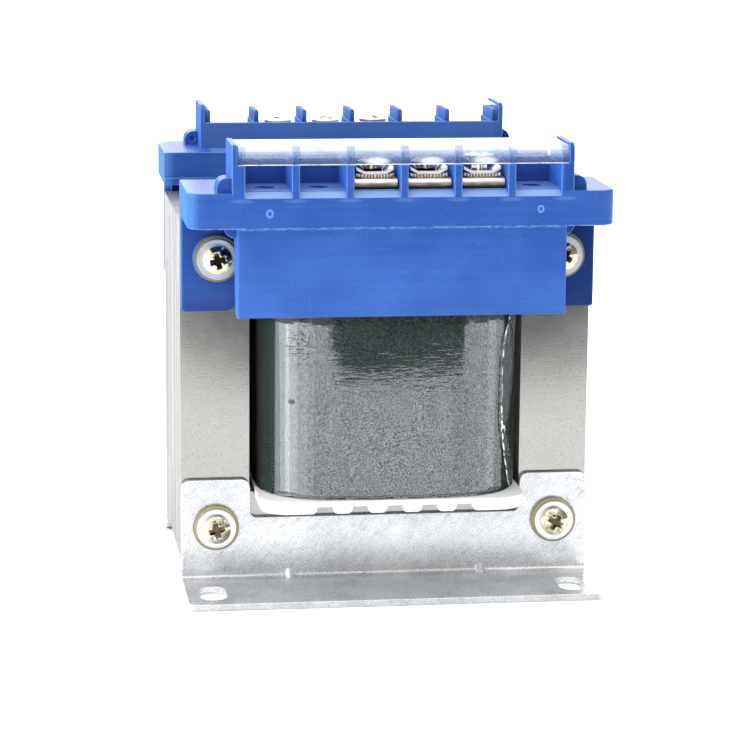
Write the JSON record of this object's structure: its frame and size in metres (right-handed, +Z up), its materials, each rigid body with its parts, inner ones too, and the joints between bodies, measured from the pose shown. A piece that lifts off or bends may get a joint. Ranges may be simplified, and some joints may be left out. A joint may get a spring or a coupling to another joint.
{
  "type": "control transformer",
  "caption": "Open control transformer: bolted sheet steel core, wrapped coil, folded slotted feet and screw terminal strips with clear covers front and rear.",
  "frame": {"origin": "centre of the footprint, in the plane under the feet", "axes": "+Z up, +X across the width to the right seen from the front, +Y to the rear"},
  "size_m": [0.0962, 0.105, 0.1061],
  "materials": {
    "core_steel": "rolled silicon steel, satin",
    "bobbin_white": "moulded nylon, satin",
    "copper": "enamelled copper wire",
    "barrier_film": "insulating paper",
    "coil_green": "dark green insulating paper",
    "clear_film": "glossy clear film",
    "galvanised": "galvanised, mottled",
    "block_blue": "moulded polyamide, glossy",
    "cover_clear": "clear plastic",
    "terminal_nickel": "nickel plated brass",
    "screw_nickel": "nickel plated steel",
    "tag_tin": "tinned",
    "yellow_zinc": "yellow zinc plated",
    "washer_zinc": "bright zinc plated",
    "washer_amber": "translucent insulating plastic",
    "sleeve_plastic": "insulating tube"
  },
  "bodies": {
    "root": {"e_laminations": "core_steel", "i_laminations": "core_steel", "bobbin": "bobbin_white", "primary_winding": "copper", "winding_barrier": "barrier_film", "secondary_winding": "copper", "coil_paper": "coil_green", "coil_film": "clear_film", "foot_bracket_front": "galvanised", "foot_bracket_rear": "galvanised", "terminal_block_front": "block_blue", "terminal_block_rear": "block_blue", "terminal_cover_front": "cover_clear", "terminal_cover_rear": "cover_clear", "terminal_plates_front": "terminal_nickel", "terminal_plates_rear": "terminal_nickel", "clamp_washers_front": "terminal_nickel", "clamp_washers_rear": "terminal_nickel", "terminal_screws_front": "screw_nickel", "terminal_screws_rear": "screw_nickel", "solder_tags_front": "tag_tin", "solder_tags_rear": "tag_tin", "leads_front": "copper", "leads_rear": "copper", "core_bolts": "yellow_zinc", "bolt_sleeves": "sleeve_plastic", "insulating_washers": "washer_amber", "flat_washers": "washer_zinc", "spring_washers": "washer_zinc", "core_nuts": "yellow_zinc"}
  },
  "joints": []
}
